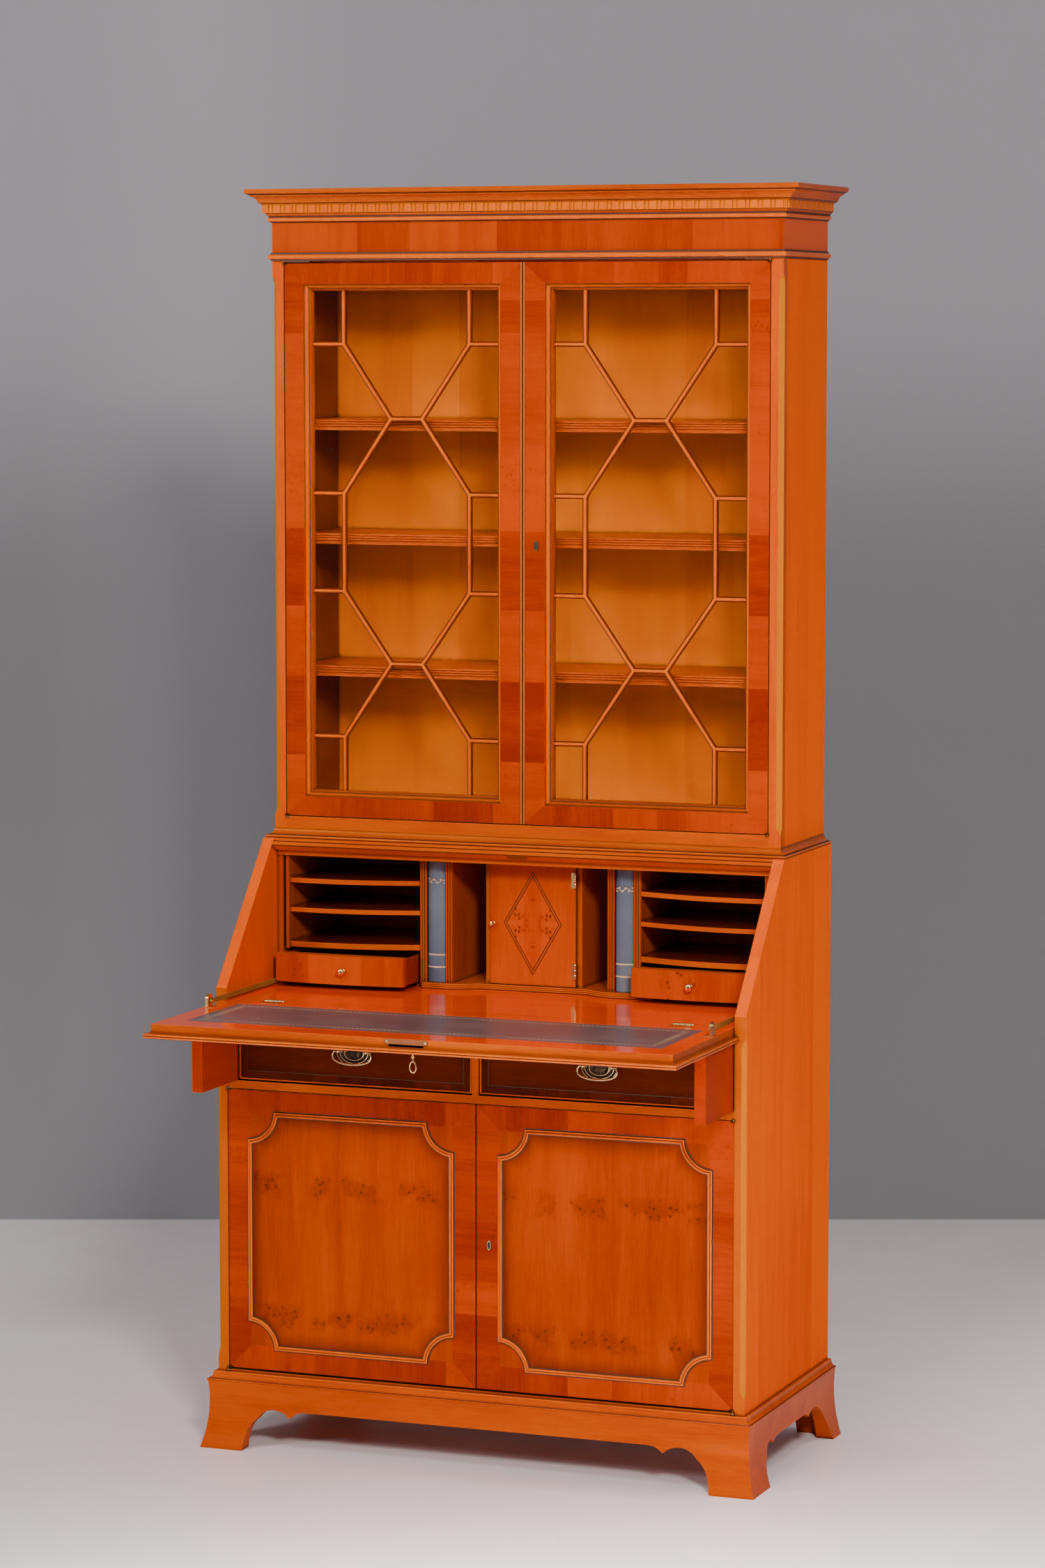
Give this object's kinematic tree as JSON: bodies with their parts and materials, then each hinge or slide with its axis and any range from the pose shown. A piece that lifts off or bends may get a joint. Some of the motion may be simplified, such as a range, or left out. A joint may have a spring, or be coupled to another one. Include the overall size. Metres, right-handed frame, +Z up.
{
  "type": "secretary desk",
  "caption": "Bureau bookcase: sloping fall on pull-out lopers, fitted gallery, long drawers and cupboard below, glazed doors with angular bars and a dentil cornice above",
  "frame": {"origin": "on the floor, under the middle of the whole desk with its fall open", "axes": "X to the right, Y to the back, Z up; the fall and the doors open towards -Y"},
  "size_m": [0.9896, 0.768, 2.128],
  "materials": {
    "yew_veneer": "gloss",
    "yew_veneer_light": "gloss",
    "yew_moulding": "gloss",
    "inner_wood": "satin",
    "polished_brass": "polished",
    "antique_brass": "aged",
    "writing_leather": "tooled, gold border",
    "spine_leather": "tooled, gold bands",
    "pane_glass": "clear"
  },
  "bodies": {
    "case": {"lower_sides": "yew_veneer", "lower_boards": "inner_wood", "back_boards": "inner_wood", "desk_board": "yew_veneer", "fall_rail": "yew_moulding", "waist_moulding": "yew_moulding", "plinth_moulding": "yew_veneer", "plinth_boards": "yew_veneer", "gallery_boards": "yew_veneer", "gallery_panels": "inner_wood", "gallery_pilasters": "yew_moulding", "gallery_base": "yew_veneer", "upper_sides": "yew_veneer", "upper_stiles": "yew_veneer", "upper_boards": "inner_wood", "bookcase_shelves": "yew_veneer", "shelf_pins": "polished_brass", "frieze": "yew_veneer_light", "astragal": "yew_moulding", "cornice": "yew_moulding", "dentil_band": "yew_veneer", "case_brass": "polished_brass"},
    "flap": {"flap_board": "yew_veneer", "flap_leather": "writing_leather", "flap_lock": "antique_brass", "flap_hinges": "polished_brass", "stay_brackets": "antique_brass"},
    "stay_left_bar": {"stay_left": "antique_brass"},
    "stay_right_bar": {"stay_right": "antique_brass"},
    "key": {"flap_key": "polished_brass"},
    "loper_l": {"loper_left": "yew_veneer"},
    "loper_r": {"loper_right": "yew_veneer"},
    "drawer_l": {"long_drawer_left": "yew_veneer", "backplate_left": "antique_brass"},
    "drawer_r": {"long_drawer_right": "yew_veneer", "backplate_right": "antique_brass"},
    "handle_l": {"bail_left": "antique_brass"},
    "handle_r": {"bail_right": "antique_brass"},
    "bookcase_door_l": {"upper_door_left": "yew_veneer", "glazing_left": "yew_moulding", "glass_left": "pane_glass", "upper_brass_left": "polished_brass"},
    "bookcase_door_r": {"upper_door_right": "yew_veneer", "glazing_right": "yew_moulding", "glass_right": "pane_glass", "upper_brass_right": "polished_brass"},
    "cupboard_door_l": {"lower_door_left": "yew_veneer_light", "lower_brass_left": "polished_brass"},
    "cupboard_door_r": {"lower_door_right": "yew_veneer_light", "lower_brass_right": "polished_brass"},
    "gallery_door": {"centre_door": "yew_veneer", "centre_brass": "polished_brass"},
    "small_l": {"small_drawer_left": "yew_veneer_light", "knob_left": "polished_brass"},
    "small_r": {"small_drawer_right": "yew_veneer_light", "knob_right": "polished_brass"},
    "docs_l": {"document_box_left": "inner_wood", "book_spine_left": "spine_leather"},
    "docs_r": {"document_box_right": "inner_wood", "book_spine_right": "spine_leather"}
  },
  "joints": [
    {"name": "fall", "type": "hinge", "parent": "case", "child": "flap", "pos_m": [0, -0.071, 0.768], "axis": [-1, 0, 0], "range_deg": [0, 130]},
    {"name": "stay_turn_left", "type": "hinge", "parent": "flap", "child": "stay_left_bar", "pos_m": [-0.4385, -0.162, 0.7776], "axis": [1, 0, 0], "range_deg": [0, 120.9]},
    {"name": "stay_turn_right", "type": "hinge", "parent": "flap", "child": "stay_right_bar", "pos_m": [0.4385, -0.162, 0.7776], "axis": [1, 0, 0], "range_deg": [0, 120.9]},
    {"name": "key_turn", "type": "hinge", "parent": "flap", "child": "key", "pos_m": [0, -0.344, 0.74], "axis": [0, 0, 1], "range_deg": [0, 90]},
    {"name": "loper_slide_left", "type": "slide", "parent": "case", "child": "loper_l", "axis": [0, 1, 0], "range_m": [-0.08, 0.141]},
    {"name": "loper_slide_right", "type": "slide", "parent": "case", "child": "loper_r", "axis": [0, 1, 0], "range_m": [-0.08, 0.141]},
    {"name": "long_drawer_slide_left", "type": "slide", "parent": "case", "child": "drawer_l", "axis": [0, 1, 0], "range_m": [-0.3, 0]},
    {"name": "long_drawer_slide_right", "type": "slide", "parent": "case", "child": "drawer_r", "axis": [0, 1, 0], "range_m": [-0.3, 0]},
    {"name": "bail_lift_left", "type": "hinge", "parent": "drawer_l", "child": "handle_l", "pos_m": [-0.218, -0.084, 0.6925], "axis": [1, 0, 0], "range_deg": [-95, 0]},
    {"name": "bail_lift_right", "type": "hinge", "parent": "drawer_r", "child": "handle_r", "pos_m": [0.218, -0.084, 0.6925], "axis": [1, 0, 0], "range_deg": [-95, 0]},
    {"name": "bookcase_door_left_swing", "type": "hinge", "parent": "case", "child": "bookcase_door_l", "pos_m": [-0.435, 0.1403, 1.53], "axis": [0, 0, 1], "range_deg": [-105, 0]},
    {"name": "bookcase_door_right_swing", "type": "hinge", "parent": "case", "child": "bookcase_door_r", "pos_m": [0.435, 0.1403, 1.53], "axis": [0, 0, -1], "range_deg": [-105, 0]},
    {"name": "cupboard_door_left_swing", "type": "hinge", "parent": "case", "child": "cupboard_door_l", "pos_m": [-0.4509, -0.0766, 0.376], "axis": [0, 0, 1], "range_deg": [-105, 0]},
    {"name": "cupboard_door_right_swing", "type": "hinge", "parent": "case", "child": "cupboard_door_r", "pos_m": [0.4509, -0.0766, 0.376], "axis": [0, 0, -1], "range_deg": [-105, 0]},
    {"name": "gallery_door_swing", "type": "hinge", "parent": "case", "child": "gallery_door", "pos_m": [0.078, 0.1894, 0.882], "axis": [0, 0, -1], "range_deg": [-100, 0]},
    {"name": "small_drawer_slide_left", "type": "slide", "parent": "case", "child": "small_l", "axis": [0, 1, 0], "range_m": [-0.09, 0.052]},
    {"name": "small_drawer_slide_right", "type": "slide", "parent": "case", "child": "small_r", "axis": [0, 1, 0], "range_m": [-0.113, 0.016]},
    {"name": "document_box_slide_left", "type": "slide", "parent": "case", "child": "docs_l", "axis": [0, 1, 0], "range_m": [-0.1, 0]},
    {"name": "document_box_slide_right", "type": "slide", "parent": "case", "child": "docs_r", "axis": [0, 1, 0], "range_m": [-0.1, 0]}
  ],
  "couplings": [
    {"joint": "stay_turn_left", "follows": "fall", "ratio": 0.93},
    {"joint": "stay_turn_right", "follows": "fall", "ratio": 0.93}
  ]
}
